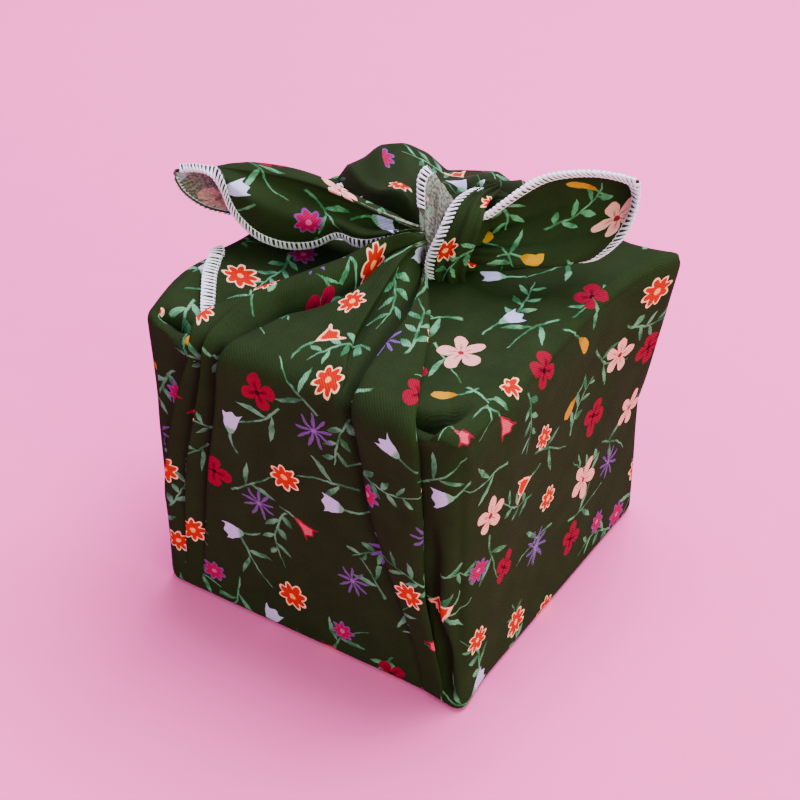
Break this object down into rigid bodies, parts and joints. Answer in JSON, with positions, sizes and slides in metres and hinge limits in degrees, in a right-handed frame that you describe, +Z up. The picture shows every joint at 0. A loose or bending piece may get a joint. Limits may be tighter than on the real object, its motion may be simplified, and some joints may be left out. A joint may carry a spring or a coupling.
{
  "type": "furoshiki wrap",
  "caption": "Square cotton furoshiki tied round a box shape: gathered sides, flat sides, and a knot with two pointed ears on top.",
  "frame": {"origin": "centre of the footprint on the floor, under the middle of the wrapped box shape", "axes": "+Z up; -Y and +Y face the two gathered sides whose corners are tied; the first flap hangs over the -X side, and the ears point to -X and +X"},
  "size_m": [0.1598, 0.1426, 0.1669],
  "materials": {
    "cotton": "matte printed plain-weave cotton"
  },
  "bodies": {
    "root": {"wrap_cloth": "cotton"}
  },
  "joints": []
}
